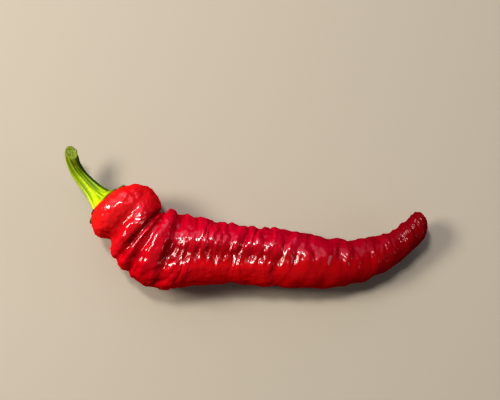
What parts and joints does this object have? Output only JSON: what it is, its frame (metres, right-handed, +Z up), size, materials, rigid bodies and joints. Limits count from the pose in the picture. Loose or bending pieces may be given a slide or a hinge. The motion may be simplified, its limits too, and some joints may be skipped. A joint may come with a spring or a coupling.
{
  "type": "red chilli pepper",
  "caption": "Fresh, wrinkled red chilli pepper lying on its side, with a bent shoulder, a curved blunt tip and a ribbed green stem that flares into its calyx.",
  "frame": {"origin": "under the middle of the bounding box, on the surface that the pepper lies on", "axes": "+X from the shoulder to the tip, +Y towards the side that the stem and the tip bend to, +Z up"},
  "size_m": [0.1606, 0.0632, 0.0294],
  "materials": {
    "pod_skin": "waxy, glossy, wrinkled red skin",
    "stem_green": "satin yellow-green, finely ribbed along the stem"
  },
  "bodies": {
    "root": {"pod": "pod_skin", "stem": "stem_green"}
  },
  "joints": []
}
